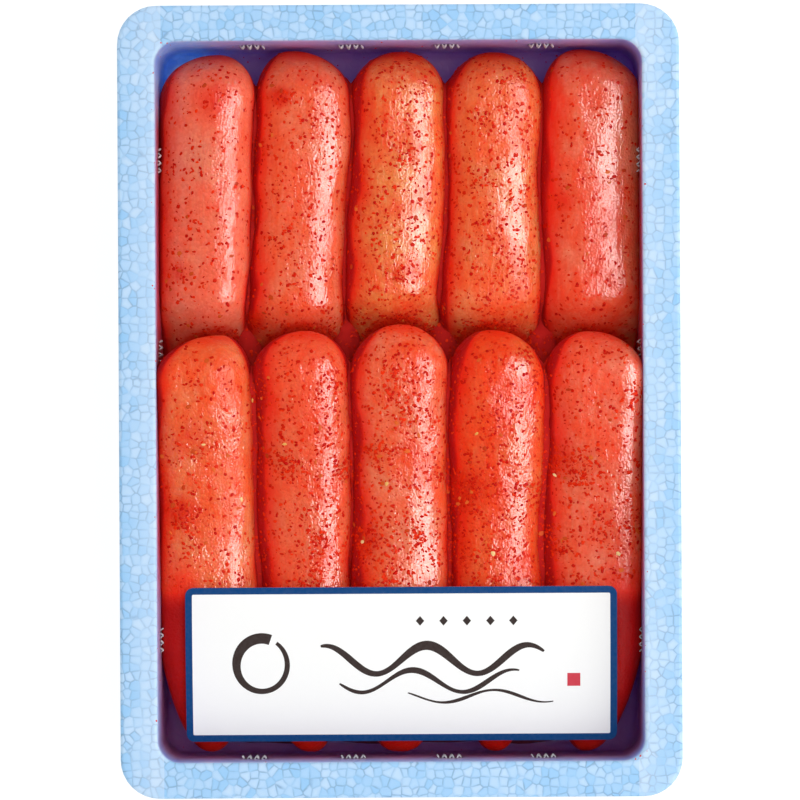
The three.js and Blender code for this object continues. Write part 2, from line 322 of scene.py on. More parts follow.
class ChilliProps(bpy.types.PropertyGroup):
    seed: IntProperty(name="Seed", description="Seed of every random draw", default=7)
    shortest: FloatProperty(
        name="Shortest flake", description="Length of the smallest flakes", unit="LENGTH",
        default=0.85 * MM,
    )
    longest: FloatProperty(
        name="Longest flake", description="Length of the usual flakes", unit="LENGTH",
        default=1.75 * MM,
    )
    clumped: FloatProperty(
        name="Clumped", description="Share of the chilli that lies in clumps", default=0.3
    )
    powder: FloatProperty(name="Powder", description="Specks of powder for each flake", default=0.8)
    strays: IntProperty(name="Strays", description="Specks on the tray itself", default=150)
    skins: IntProperty(name="Skins", description="Large skins on each sac", default=14)


class StageProps(bpy.types.PropertyGroup):
    camera_height: FloatProperty(
        name="Camera height", description="Height of the camera over the floor", unit="LENGTH",
        default=1.6,
    )
    camera_x: FloatProperty(
        name="Camera X", description="Where the camera stands", unit="LENGTH", default=10 * MM
    )
    camera_y: FloatProperty(
        name="Camera Y", description="Where the camera stands", unit="LENGTH", default=-14 * MM
    )
    roll: FloatProperty(
        name="Roll", description="Turn of the picture", subtype="ANGLE", default=math.radians(-0.3)
    )
    key_power: FloatProperty(name="Key power", description="Watts of the softbox", default=14.0)
    shine_power: FloatProperty(
        name="Shine power", description="Watts of the softbox in reflections", default=72.0
    )
    key_width: FloatProperty(
        name="Key width", description="Short side of the softbox", unit="LENGTH", default=1.5
    )
    shine_width: FloatProperty(
        name="Shine width", description="Short side of its reflected part", unit="LENGTH", default=0.95
    )
    shine_length: FloatProperty(
        name="Shine length", description="Long side of its reflected part", unit="LENGTH", default=2.1
    )
    key_length: FloatProperty(
        name="Key length", description="Long side of the softbox", unit="LENGTH", default=2.6
    )
    key_elevation: FloatProperty(
        name="Key elevation", description="Angle of the softbox over the floor", subtype="ANGLE",
        default=math.radians(52),
    )
    fill: FloatProperty(name="Fill", description="Strength of the surrounding light", default=0.7)


def fill_row(row, sacs, values):
    """Copies the tables at the top of the file into a row's properties."""
    for name, value in values.items():
        setattr(row, name, value)
    row.sacs.clear()
    shape = ("head_x", "head_y", "tail_x", "tail_y", "thick")
    for *lengths, slimness, skin, bloom, flakes, wetness, roll in sacs:
        sac = row.sacs.add()
        for name, length in zip(shape, lengths):
            setattr(sac, name, length * MM)
        sac.slimness = slimness
        sac.skin = linear(skin)
        sac.bloom = linear(bloom)
        sac.flakes = flakes
        sac.wetness = wetness
        sac.roll = roll


def fill_rows(roe):
    back = {
        "seams_at_head": [x * MM for x in (-75.8, -46.7, -15.3, 15.3, 46.1, 76.9)],
        "seams_at_foot": [x * MM for x in (-77.3, -49.2, -18.3, 13.6, 45.8, 77.1)],
        "head_station": 88 * MM,
        "foot_station": 30 * MM,
        "tip_rest_head": 0.4,
        "tip_rest_tail": 0.3,
        "squash": 0.58,
        "wall_power": 2.8,
    }
    front = {
        "seams_at_head": [x * MM for x in (-77.5, -47.5, -15.7, 15.3, 46.8, 77.5)],
        "seams_at_foot": [x * MM for x in (-77.3, -46.2, -16.2, 15.5, 45.5, 77.3)],
        "head_station": 0.0,
        "foot_station": -52 * MM,
        "tip_rest_head": 0.26,
        "tip_rest_tail": 0.42,
        "squash": 0.0,
        "wall_power": 4.0,
    }
    fill_row(roe.back, BACK_SACS, back)
    fill_row(roe.front, FRONT_SACS, front)
    for node, sac in zip(FRONT_NODES, roe.front.sacs):
        sac.lift = (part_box(node)[1].z - LIE - sac.thick) / ramp_share(roe, sac.head_y - roe.head_dome)


def add_node(tree, kind, inputs=None, **settings):
    """Adds a node with its settings. An input is a value, or another node's output."""
    made = tree.nodes.new(kind)
    for name, value in settings.items():
        setattr(made, name, value)
    for name, value in (inputs or {}).items():
        if isinstance(value, bpy.types.NodeSocket):
            tree.links.new(value, made.inputs[name])
        else:
            made.inputs[name].default_value = value
    return made


def new_material(name):
    """An empty node material and its output node."""
    material = bpy.data.materials.new(name)
    material.use_nodes = True
    tree = material.node_tree
    tree.nodes.clear()
    return material, tree, tree.nodes.new("ShaderNodeOutputMaterial")


def colour(values):
    return (*values[:3], 1.0)


def finish_material(material, tree, output, inputs):
    """Gives a material its surface."""
    shader = add_node(tree, "ShaderNodeBsdfPrincipled", inputs)
    tree.links.new(shader.outputs["BSDF"], output.inputs["Surface"])
    return material


def layered(tree, base, layers):
    """A colour with others laid over it in turn, each as far as its share says."""
    for share, over in layers:
        base = add_node(
            tree, "ShaderNodeMix", {0: share, 6: base, 7: over}, data_type="RGBA"
        ).outputs[2]
    return base


def coordinates(tree, place):
    """X, Y and Z of a place."""
    parts = add_node(tree, "ShaderNodeSeparateXYZ", {"Vector": place}).outputs
    return parts["X"], parts["Y"], parts["Z"]


def stains_and_painted_shade(tree, tray, place, patches, spot):
    """What the seasoning has left on wet foam, with painted shade, as layers of a share and a colour. The
    spot is the distance from the middle line, Y and the height."""
    across, y, height = spot
    # Seasoning stain with painted shade: it grows to the right, where the walls face away from the light,
    # and to the front, and leaves the back left corner pale.
    corner = (tray.side_rim - TRAY_HIGH.x, 0.5 * (TRAY_HIGH.y - tray.end_rim), 0.0)
    reach = add_node(
        tree, "ShaderNodeVectorMath", {0: place, 1: (1.0, 0.5, 0.0)}, operation="MULTIPLY"
    ).outputs["Vector"]
    run = add_node(
        tree, "ShaderNodeVectorMath", {0: reach, 1: corner}, operation="DISTANCE"
    ).outputs["Value"]
    uneven = add_node(
        tree, "ShaderNodeMath", {0: patches, 1: 40 * MM, 2: run}, operation="MULTIPLY_ADD"
    ).outputs["Value"]
    spread = add_node(
        tree, "ShaderNodeMapRange",
        {"Value": uneven, "From Min": 30 * MM, "From Max": 54 * MM, "To Min": 0.1, "To Max": 0.92},
        interpolation_type="SMOOTHSTEP",
    ).outputs["Result"]
    frontness = add_node(
        tree, "ShaderNodeMapRange", {"Value": y, "From Min": 100 * MM, "From Max": 0.0}
    ).outputs["Result"]
    # Painted shade: the walls are darker lower down and paler towards the rim, most of all at the front.
    share_at_rim = add_node(
        tree, "ShaderNodeMapRange",
        {"Value": y, "From Min": -60 * MM, "From Max": -105 * MM, "To Min": 0.45, "To Max": 0.15},
    ).outputs["Result"]
    wall = add_node(
        tree, "ShaderNodeMapRange",
        {"Value": height, "From Min": 28 * MM, "From Max": 46 * MM, "To Min": 1.0, "To Max": share_at_rim},
    ).outputs["Result"]
    stain_and_shade = add_node(tree, "ShaderNodeMath", {0: spread, 1: wall}, operation="MULTIPLY")
    liquor = layered(
        tree, colour(linear("#B47AA8")), [(frontness, colour(linear("#A85A88")))]
    )
    # Where a sac rests on a long wall the wall is red lower down: red left by the sac, and a painted
    # reflection and shade of the sac beside it.
    low = add_node(
        tree, "ShaderNodeMapRange",
        {"Value": height, "From Min": 39 * MM, "From Max": 46.5 * MM, "To Min": 0.9, "To Max": 0.0},
    ).outputs["Result"]
    aside = add_node(
        tree, "ShaderNodeMath", {0: across, 1: TRAY_HIGH.x - tray.side_rim - 1.5 * MM},
        operation="GREATER_THAN",
    ).outputs["Value"]
    span = add_node(tree, "ShaderNodeMath", {0: y, 1: 20 * MM}, operation="SUBTRACT")
    off_middle = add_node(
        tree, "ShaderNodeMath", {0: span.outputs["Value"]}, operation="ABSOLUTE"
    ).outputs["Value"]
    along = add_node(
        tree, "ShaderNodeMapRange",
        {"Value": off_middle, "From Min": 83 * MM, "From Max": 68 * MM},
    ).outputs["Result"]
    resting = add_node(tree, "ShaderNodeMath", {0: low, 1: aside}, operation="MULTIPLY")
    rubbed_and_reflected = add_node(
        tree, "ShaderNodeMath", {0: resting.outputs["Value"], 1: along}, operation="MULTIPLY"
    )
    return [
        (stain_and_shade.outputs["Value"], liquor),
        (rubbed_and_reflected.outputs["Value"], colour(linear("#B42C40"))),
    ]


def foam_material(name, tray, wet):
    """Expanded polystyrene, steam-moulded: soft matt beads pressed flat, with darker seams.
    Wet foam, inside the cavity, is deeper in colour and stained by the seasoning, with painted shade that
    grows down the walls and towards the right."""
    material, tree, output = new_material(name)
    place = add_node(tree, "ShaderNodeTexCoord").outputs["Object"]
    per_metre = 1 / tray.bead
    wobble = add_node(tree, "ShaderNodeTexNoise", {"Vector": place, "Scale": per_metre * 0.8})
    shaken = add_node(
        tree, "ShaderNodeMix",
        {0: 0.0006, 4: place, 5: wobble.outputs["Color"]},
        data_type="VECTOR",
    ).outputs[1]
    level = add_node(
        tree, "ShaderNodeVectorMath",
        {0: shaken, 1: (0.0, 0.0, 0.3 * tray.bead - TRAY_HIGH.z % tray.bead)}, operation="ADD"
    ).outputs["Vector"]
    packing = {"Vector": level, "Scale": per_metre, "Randomness": 0.7}
    cells = add_node(tree, "ShaderNodeTexVoronoi", packing, feature="F1")
    edges = add_node(
        tree, "ShaderNodeTexVoronoi", packing, feature="DISTANCE_TO_EDGE"
    ).outputs["Distance"]
    chance = add_node(tree, "ShaderNodeSeparateColor", {"Color": cells.outputs["Color"]})
    light = Vector(tray.foam_light)
    dark = Vector(tray.foam_dark)
    seam = Vector(tray.foam_seam)
    if wet:
        soak = Vector((0.95, 0.86, 1.0))
        light = light * soak
        dark = dark * soak
        seam = seam * soak
    patches = add_node(
        tree, "ShaderNodeTexNoise", {"Vector": place, "Scale": 55.0, "Detail": 3.0}
    ).outputs["Fac"]
    cloud = add_node(
        tree, "ShaderNodeMapRange",
        {"Value": patches, "From Min": 0.35, "From Max": 0.7, "To Max": 0.35},
    ).outputs["Result"]
    # The beads are rounded at their seams: a painted shade darkens each bead towards its edge, and the
    # seams show as fine lines here and there.
    shade = add_node(
        tree, "ShaderNodeMapRange",
        {"Value": edges, "From Max": 0.34, "To Min": 0.1 if wet else 0.4, "To Max": 0.0},
    ).outputs["Result"]
    fitful = add_node(tree, "ShaderNodeTexNoise", {"Vector": place, "Scale": 210.0}).outputs["Fac"]
    depth = add_node(
        tree, "ShaderNodeMapRange",
        {"Value": fitful, "From Min": 0.35, "From Max": 0.65, "To Min": 0.08,
         "To Max": 0.2 if wet else 0.68},
    ).outputs["Result"]
    line = add_node(
        tree, "ShaderNodeMapRange", {"Value": edges, "From Max": 0.12, "To Min": depth, "To Max": 0.0}
    ).outputs["Result"]
    layers = [
        (chance.outputs[0], colour(light)),
        (cloud, colour(light)),
        (shade, colour(dark)),
        (line, colour(seam)),
    ]
    x, y, height = coordinates(tree, place)
    across = add_node(tree, "ShaderNodeMath", {0: x}, operation="ABSOLUTE").outputs["Value"]
    opening = TRAY_HIGH.x - tray.side_rim
    if wet:
        layers += stains_and_painted_shade(tree, tray, place, patches, (across, y, height))
    else:
        # On the long sides the rim is paler towards the cavity.
        fade = add_node(
            tree, "ShaderNodeMapRange",
            {"Value": across, "From Min": opening, "From Max": opening + 0.9 * tray.side_rim,
             "To Min": 0.3, "To Max": 0.0},
        ).outputs["Result"]
        on_side = add_node(
            tree, "ShaderNodeMath", {0: across, 1: opening - 2 * MM}, operation="GREATER_THAN"
        ).outputs["Value"]
        pale = add_node(
            tree, "ShaderNodeMath", {0: fade, 1: on_side}, operation="MULTIPLY"
        ).outputs["Value"]
        layers.append((pale, colour(linear("#E4EEFC"))))
    skin_colour = layered(tree, colour(dark), layers)
    crown = add_node(
        tree, "ShaderNodeMapRange",
        {"Value": edges, "From Min": 0.0, "From Max": 0.22},
        interpolation_type="SMOOTHSTEP",
    ).outputs["Result"]
    bump = add_node(
        tree, "ShaderNodeBump", {"Height": crown, "Strength": 0.35, "Distance": 0.12 * MM}
    ).outputs["Normal"]
    return finish_material(
        material, tree, output,
        {
            "Base Color": skin_colour,
            "Roughness": 0.28 if wet else 0.62,
            "Specular IOR Level": 0.3 if wet else 0.1,
            "Subsurface Weight": 1.0 if wet else 0.12,
            "Subsurface Radius": (0.8, 1.0, 1.2),
            "Subsurface Scale": (20 if wet else 2) * MM,
            "Normal": bump,
        },
    )


def slit_material(name):
    """The same foam where the steam's slits have drawn it out: thin, dry and unstained, and painted
    whiter than the rest as a highlight on the raised ridges.
    """
    material, tree, output = new_material(name)
    return finish_material(
        material, tree, output,
        {"Base Color": colour(linear("#F4F6FC")), "Roughness": 0.6, "Specular IOR Level": 0.1,
         "Subsurface Weight": 0.5, "Subsurface Radius": (1.0, 1.0, 1.0), "Subsurface Scale": 2 * MM},
    )


def roe_material(name, sac):
    """Salted pollock roe in its membrane: a thin wet skin over fine grains, translucent coral, deeper and
    redder down its sides and in the folds. The chilli seasoning gathers there, and painted shade darkens
    the left sides, away from the light, and darkens the crevices most."""
    material, tree, output = new_material(name)
    place = add_node(tree, "ShaderNodeTexCoord").outputs["Object"]
    shade_and_seasoning = add_node(tree, "ShaderNodeAttribute", attribute_name="shade_and_seasoning").outputs["Fac"]
    paste = add_node(tree, "ShaderNodeAttribute", attribute_name="paste").outputs["Fac"]
    broad = add_node(
        tree, "ShaderNodeTexNoise", {"Vector": place, "Scale": 45.0, "Detail": 4.0, "Roughness": 0.6}
    ).outputs["Fac"]
    long_ways = add_node(
        tree, "ShaderNodeMapping", {"Vector": place, "Scale": (1.0, 0.22, 1.0)}
    ).outputs["Vector"]
    streaks = add_node(
        tree, "ShaderNodeTexNoise",
        {"Vector": long_ways, "Scale": 420.0, "Detail": 5.0, "Roughness": 0.65, "Distortion": 0.6},
    ).outputs["Fac"]
    # Single eggs are about 0.8 mm across and show through the membrane.
    eggs = add_node(
        tree, "ShaderNodeTexVoronoi", {"Vector": place, "Scale": 1250.0}, feature="F1"
    )
    bloom_patch = add_node(
        tree, "ShaderNodeMapRange",
        {"Value": broad, "From Min": 0.42, "From Max": 0.68, "To Max": 0.75},
        interpolation_type="SMOOTHSTEP",
    ).outputs["Result"]
    streak = add_node(
        tree, "ShaderNodeMapRange",
        {"Value": streaks, "From Min": 0.45, "From Max": 0.7, "To Max": 0.5},
    ).outputs["Result"]
    egg_chance = add_node(
        tree, "ShaderNodeSeparateColor", {"Color": eggs.outputs["Color"]}
    ).outputs[0]
    egg_share = add_node(
        tree, "ShaderNodeMapRange", {"Value": egg_chance, "To Max": 0.3}
    ).outputs["Result"]
    # Painted shade: the crevices at the foot of the sides turn a dark red.
    deep = add_node(
        tree, "ShaderNodeMapRange", {"Value": shade_and_seasoning, "From Min": 0.84, "To Max": 0.8}
    ).outputs["Result"]
    thick_paste = add_node(tree, "ShaderNodeMath", {0: paste, 1: streaks}, operation="MULTIPLY")
    smear = add_node(
        tree, "ShaderNodeMapRange",
        {"Value": thick_paste.outputs["Value"], "From Min": 0.1, "From Max": 0.45, "To Max": 0.85},
        interpolation_type="SMOOTHSTEP",
    ).outputs["Result"]
    smeared = layered(
        tree, colour(sac.skin),
        (
            (bloom_patch, colour(sac.bloom)),
            (streak, colour(sac.bloom)),
            (egg_share, colour(linear("#D8361F"))),
            # Seasoning and painted shade redden the sides.
            (shade_and_seasoning, colour(linear("#F41C10"))),
            (deep, colour(linear("#A01418"))),
            (smear, colour(linear("#EE2408"))),
        ),
    )
    lumps = add_node(
        tree, "ShaderNodeTexNoise", {"Vector": place, "Scale": 330.0, "Detail": 3.0}
    ).outputs["Fac"]
    crinkles = add_node(
        tree, "ShaderNodeTexNoise",
        {"Vector": long_ways, "Scale": 620.0, "Detail": 3.0, "Distortion": 1.2},
        noise_type="RIDGED_MULTIFRACTAL",
    ).outputs["Fac"]
    egg_bump = add_node(
        tree, "ShaderNodeBump",
        {"Height": eggs.outputs["Distance"], "Strength": mix(0.6, 0.2, sac.wetness),
         "Distance": 0.35 * MM},
        invert=True,
    ).outputs["Normal"]
    crinkle_bump = add_node(
        tree, "ShaderNodeBump",
        {"Height": crinkles, "Strength": mix(1.0, 0.4, sac.wetness), "Distance": 0.22 * MM,
         "Normal": egg_bump},
    ).outputs["Normal"]
    lump_bump = add_node(
        tree, "ShaderNodeBump",
        {"Height": lumps, "Strength": mix(0.6, 0.3, sac.wetness), "Distance": 0.8 * MM,
         "Normal": crinkle_bump},
    ).outputs["Normal"]
    skin_roughness = add_node(
        tree, "ShaderNodeMapRange",
        {"Value": streaks, "From Min": 0.3, "From Max": 0.7, "To Min": 0.38, "To Max": 0.55},
    ).outputs["Result"]
    dry = add_node(
        tree, "ShaderNodeMapRange",
        {"Value": broad, "From Min": 0.36, "From Max": 0.6,
         "To Min": clamp01(2 * sac.wetness - 0.9), "To Max": mix(1.0, 0.75, sac.wetness)},
    ).outputs["Result"]
    film = add_node(
        tree, "ShaderNodeMath", {0: shade_and_seasoning, 1: -0.9, 2: dry}, operation="MULTIPLY_ADD", use_clamp=True
    ).outputs["Value"]
    blur = mix(0.26, 0.09, sac.wetness)
    film_roughness = add_node(
        tree, "ShaderNodeMapRange",
        {"Value": streaks, "From Min": 0.35, "From Max": 0.65, "To Min": blur * 0.5,
         "To Max": blur * 1.7},
    ).outputs["Result"]
    return finish_material(
        material, tree, output,
        {
            "Base Color": smeared,
            "Roughness": skin_roughness,
            "IOR": 1.42,
            "Specular IOR Level": 0.06,
            "Subsurface Weight": 0.8,
            "Subsurface Radius": (1.0, 0.12, 0.05),
            "Subsurface Scale": 9 * MM,
            "Coat Weight": film,
            "Coat Roughness": film_roughness,
            "Coat IOR": 1.5,
            "Coat Normal": lump_bump,
            "Normal": lump_bump,
        },
    )


def chilli_material(name, dark, light, roughness):
    """Dried chilli soaked in seasoning: each flake has its own shade, stored as "shade"."""
    material, tree, output = new_material(name)
    shade = add_node(tree, "ShaderNodeAttribute", attribute_name="shade").outputs["Fac"]
    body = layered(tree, colour(linear(dark)), [(shade, colour(linear(light)))])
    return finish_material(
        material, tree, output,
        {"Base Color": body, "Roughness": roughness, "Specular IOR Level": 0.03},
    )


def print_material(name, ink, roughness):
    """Coated paperboard, offset-printed: flat and even, with the faint tooth of the board."""
    material, tree, output = new_material(name)
    place = add_node(tree, "ShaderNodeTexCoord").outputs["Object"]
    fibres = add_node(
        tree, "ShaderNodeTexNoise", {"Vector": place, "Scale": 900.0, "Detail": 4.0}
    ).outputs["Fac"]
    paper = add_node(
        tree, "ShaderNodeMapRange",
        {"Value": fibres, "From Min": 0.3, "From Max": 0.7, "To Min": 0.0, "To Max": 0.02},
    ).outputs["Result"]
    tone = layered(tree, colour(linear(ink)), [(paper, colour(linear("#D8DCE2")))])
    bump = add_node(
        tree, "ShaderNodeBump", {"Height": fibres, "Strength": 0.12, "Distance": 0.05 * MM}
    ).outputs["Normal"]
    return finish_material(
        material, tree, output,
        {"Base Color": tone, "Roughness": roughness, "Specular IOR Level": 0.03, "Normal": bump},
    )


def liquor_material(name):
    """Seasoning liquor, seeped out of the roe: a thin clear red film that shines."""
    material, tree, output = new_material(name)
    place = add_node(tree, "ShaderNodeTexCoord").outputs["Object"]
    cloud = add_node(
        tree, "ShaderNodeTexNoise", {"Vector": place, "Scale": 90.0, "Detail": 4.0}
    ).outputs["Fac"]
    tone = layered(tree, colour(linear("#5E2046")), [(cloud, colour(linear("#8E2A38")))])
    return finish_material(
        material, tree, output,
        {"Base Color": tone, "Roughness": 0.12, "IOR": 1.36, "Coat Weight": 0.5},
    )


def finish_piece(name, bm, materials, replaced=None, flat=False):
    """Turns a bmesh into a piece that rides on the frame."""
    mesh = bpy.data.meshes.new(name)
    bm.to_mesh(mesh)
    bm.free()
    for material in materials:
        mesh.materials.append(material)
    for polygon in mesh.polygons:
        polygon.use_smooth = not flat
    piece = bpy.data.objects.new(name, mesh)
    bpy.context.scene.collection.objects.link(piece)
    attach(piece, "root")
    if replaced:
        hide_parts(replaced)
    return piece


def thicken(bm, faces, rise):
    """Extrudes faces and moves the new ones by a rise. Gives their vertices."""
    made = bmesh.ops.extrude_face_region(bm, geom=faces)["geom"]
    verts = [g for g in made if isinstance(g, bmesh.types.BMVert)]
    bmesh.ops.translate(bm, verts=verts, vec=(0, 0, rise))
    return verts


def rounded_face(bm, half_x, half_y, radius, z):
    """A level rounded rectangle as one face."""
    made = bmesh.ops.create_grid(bm, x_segments=1, y_segments=1, size=1)["verts"]
    place = Matrix.Translation((0, 0, z)) @ Matrix.Diagonal((half_x, half_y, 1, 1))
    bmesh.ops.transform(bm, matrix=place, verts=made)
    bmesh.ops.bevel(
        bm, geom=made, offset=radius, offset_type="OFFSET", segments=8, profile=0.5,
        affect="VERTICES", material=-1,
    )
    return next(iter(bm.faces))


def raise_ring(bm, edges, old, new):
    """Extrudes a rounded rectangle's outline from one level of the section to the next."""
    made = bmesh.ops.extrude_edge_only(bm, edges=edges)["geom"]
    half_x, half_y, radius, z = new
    for vert in made:
        if not isinstance(vert, bmesh.types.BMVert):
            continue
        side_x = math.copysign(1, vert.co.x)
        side_y = math.copysign(1, vert.co.y)
        turn_x = (vert.co.x - side_x * (old[0] - old[2])) / old[2]
        turn_y = (vert.co.y - side_y * (old[1] - old[2])) / old[2]
        vert.co.x = side_x * (half_x - radius) + turn_x * radius
        vert.co.y = side_y * (half_y - radius) + turn_y * radius
        vert.co.z = z
    return [g for g in made if isinstance(g, bmesh.types.BMEdge)]


def tray_levels(tray):
    """The tray's section as levels, from the middle of its base to the middle of its floor."""
    outer = (TRAY_HIGH.x, TRAY_HIGH.y, tray.outer_corner)
    inner = (TRAY_HIGH.x - tray.side_rim, TRAY_HIGH.y - tray.end_rim, tray.inner_corner)
    top = TRAY_HIGH.z
    edge = tray.edge
    # Each bend: its outline, its steps, and its inset and height at a sine and a cosine.
    bends = (
        (outer, 4, lambda s, c: (tray.outer_lean + edge * (1 - s), edge * (1 - c))),
        (outer, 4, lambda s, c: (edge * (1 - c), top - edge * (1 - s))),
        (inner, 4, lambda s, c: (-edge * (1 - s), top - edge * (1 - c))),
        (inner, 6, lambda s, c: (
            tray.cavity_lean + tray.fillet * (1 - c), tray.floor + tray.fillet * (1 - s)
        )),
    )
    levels = []
    for (half_x, half_y, corner), steps, section in bends:
        for step in range(steps + 1):
            turn = step / steps * math.pi / 2
            inset, z = section(math.sin(turn), math.cos(turn))
            levels.append((half_x - inset, half_y - inset, corner - inset / 2, z))
    return levels


def past_opening(tray, point):
    """How far a point lies outside the cavity's opening, or with a minus inside it."""
    across = abs(point.x) - (TRAY_HIGH.x - tray.side_rim - tray.inner_corner)
    along = abs(point.y) - (TRAY_HIGH.y - tray.end_rim - tray.inner_corner)
    outer = math.hypot(max(across, 0.0), max(along, 0.0))
    return outer + min(max(across, along), 0.0) - tray.inner_corner


def vent_places(tray):
    """Centre and wall direction of each vent mark on the cavity's walls."""
    lean = tray.cavity_lean * (TRAY_HIGH.z - tray.vent_height) / (TRAY_HIGH.z - tray.floor)
    reach_x = TRAY_HIGH.x - tray.side_rim - lean
    reach_y = TRAY_HIGH.y - tray.end_rim - lean
    for side in (-1, 1):
        for x in (-47.5, -15.5, 15.5, 46):
            yield Vector((x * MM, side * reach_y, tray.vent_height)), Vector((0, -side, 0))
        for y in (78, 16, -77):
            yield Vector((side * reach_x, y * MM, tray.vent_height)), Vector((-side, 0, 0))


def add_vent_slits(bm, tray):
    """Fine raised zigzag lines in a round patch, as a steam vent leaves. Gives their faces."""
    width = 0.35 * MM
    depth = 1.9 * MM
    stretch = 1.7  # the slits run past the round patch
    slant_angle = math.radians(38)
    before = set(bm.faces)
    for centre, into_cavity in vent_places(tray):
        along = into_cavity.cross(Vector((0, 0, 1)))
        turn = Matrix((along, into_cavity, Vector((0, 0, 1)))).transposed().to_4x4()
        for slit in range(-3, 4):
            x = slit * tray.vent / 8
            chord = math.sqrt(max(0.0, (tray.vent / 2) ** 2 - x * x))
            size = Matrix.Diagonal((width, depth, chord * stretch, 1))
            slant = Matrix.Rotation(slant_angle if slit % 2 else -slant_angle, 4, "Z")
            place = Matrix.Translation(centre) @ turn @ Matrix.Translation((x, 0, 0)) @ slant @ size
            bmesh.ops.create_cube(bm, size=1, matrix=place)
    return set(bm.faces) - before


class ROETRAY_OT_foam_tray(bpy.types.Operator):
    """Build the moulded foam tray"""

    bl_idname = "roe_tray.foam_tray"
    bl_label = "Foam tray"

    def execute(self, context):
        tray = context.scene.roe_tray_tray
        bm = bmesh.new()
        levels = tray_levels(tray)
        ring = list(rounded_face(bm, *levels[0]).edges)
        for old, new in zip(levels, levels[1:]):
            ring = raise_ring(bm, ring, old, new)
        bmesh.ops.contextual_create(bm, geom=ring)
        bmesh.ops.recalc_face_normals(bm, faces=bm.faces)
        for face in bm.faces:
            middle = face.calc_center_median()
            inside = past_opening(tray, middle) < tray.edge / 8 and middle.z > tray.floor / 2
            face.material_index = 1 if inside else 0
        for face in add_vent_slits(bm, tray):
            face.material_index = 2
        materials = [
            foam_material("expanded_polystyrene_moulded", tray, wet=False),
            foam_material("expanded_polystyrene_soaked", tray, wet=True),
            slit_material("expanded_polystyrene_vent_slits"),
        ]
        piece = finish_piece("foam_tray", bm, materials, "tray")
        shading = piece.modifiers.new("even_shading", "WEIGHTED_NORMAL")
        shading.keep_sharp = False
        return {"FINISHED"}


def seam_x(roe, row, k, y):
    """X of seam k of a row at y, with the slight wave that both neighbours share."""
    along = (row.head_station - y) / (row.head_station - row.foot_station)
    wave = 0.0
    if 0 < k < SACS_IN_ROW:
        wave = roe.sway * math.sin(y / MM * 0.11 + k * 2.3)
    return mix(row.seams_at_head[k], row.seams_at_foot[k], smooth(along)) + wave


def fullness(roe, sac, y, power=8):
    """1 along a sac's body, falling to 0 at both tips."""
    from_head = clamp01((sac.head_y - y) / roe.head_dome)
    from_tail = max(0.0, y - sac.tail_y) / roe.tail_taper
    body = level_off(1.02 * from_tail**sac.slimness, power)
    return math.sqrt(1 - (1 - from_head) ** 2) * body


def heights_at(roe, row, sac, y):
    """Underside and top of a sac above what it lies on."""
    full = fullness(roe, sac, y)
    pressed = 1 - smooth((y - sac.tail_y - roe.squash_to) / (roe.squash_from - roe.squash_to))
    thick = sac.thick * (1 - row.squash * pressed)
    rest = mix(
        row.tip_rest_tail, row.tip_rest_head, smooth((y - sac.tail_y) / (sac.head_y - sac.tail_y))
    )
    under = thick * rest * (1 - full)
    return under, under + thick * full


def ramp_share(roe, y):
    return smooth((y - roe.ramp_low) / (roe.ramp_high - roe.ramp_low))


def skin_point(roe, row, index, y, angle):
    """A point of a sac's skin. Angle 0 is its right side and a quarter turn its crest."""
    sac = row.sacs[index]
    full = fullness(roe, sac, y)
    wide = fullness(roe, sac, y, 24)
    left = seam_x(roe, row, index, y) - (roe.wall_press if index == 0 else roe.press / 2)
    last = index == SACS_IN_ROW - 1
    right = seam_x(roe, row, index + 1, y) + (roe.wall_press if last else roe.press / 2)
    nearer_tip = sac.tail_x if y < (sac.head_y + sac.tail_y) / 2 else sac.head_x
    under, over = heights_at(roe, row, sac, y)
    base = LIE + sac.lift * ramp_share(roe, y)
    across = math.cos(angle)
    up = math.sin(angle)
    by_wall = (index == 0 and across < 0) or (last and across > 0)
    over_power = row.wall_power if by_wall else roe.boxiness_over
    power = 2 / (over_power if up > 0 else roe.boxiness_under)
    sideways = (right - left) / 2 * wide * math.copysign(abs(across) ** power, across)
    return Vector((
        mix((left + right) / 2, nearer_tip, 1 - full) + sideways,
        y,
        base + (under + over) / 2 + (over - under) / 2 * math.copysign(abs(up) ** power, up)
        + sac.roll * sideways * max(up, 0.0),
    ))


def relief(roe, point, seed):
    """How far the skin stands out at a point: broad dents and fine wrinkles along the sac."""
    shift = Vector((seed * 3.7, seed * 1.3, seed * 5.1))
    broad = noise.noise(point / (15 * MM) + shift)
    ripple = noise.noise(Vector((point.x / 3.2, point.y / 7.0, point.z / 3.2)) / MM + shift)
    return roe.dents * broad + roe.wrinkles * ripple


def paste_at(point):
    """How much chilli paste lies at a point, from 0 to 1."""
    most = 0.0
    for x, y, radius, strength in PASTE_SPOTS:
        away = math.hypot(point.x / MM - x, point.y / MM - y) / radius
        most = max(most, strength * math.exp(-away * away))
    return most


def contact_y(roe, index, x):
    """Y of the line where a front sac's head meets the tail under it."""
    sac = roe.front.sacs[index]
    left = seam_x(roe, roe.front, index, sac.head_y)
    right = seam_x(roe, roe.front, index + 1, sac.head_y)
    across = (2 * x - left - right) / (right - left)
    tip = (2 * sac.head_x - left - right) / (right - left)
    full = clamp01((across - tip) / (1 - tip) if across > tip else (tip - across) / (1 + tip))
    return sac.head_y - roe.head_dome * (1 - math.sqrt(1 - full * full))


def side_shade_at(point, angle, seed, start, right):
    """How far a point lies down a sac's side, where neighbours press and the seasoning gathers, as a
    share of seasoning and painted shade. Angle 0 is the right side. As painted shade it reaches further
    up on the left, away from the light, where it starts at a tilt in degrees."""
    tilt = math.degrees(math.atan2(-math.cos(angle), math.sin(angle)))
    tilt += 14 * noise.noise(Vector((point.x, point.y * 0.6, seed)) / (9 * MM))
    return max(smooth((tilt - start) / 40), smooth((-tilt - 52) / 24) if right else 0.0)


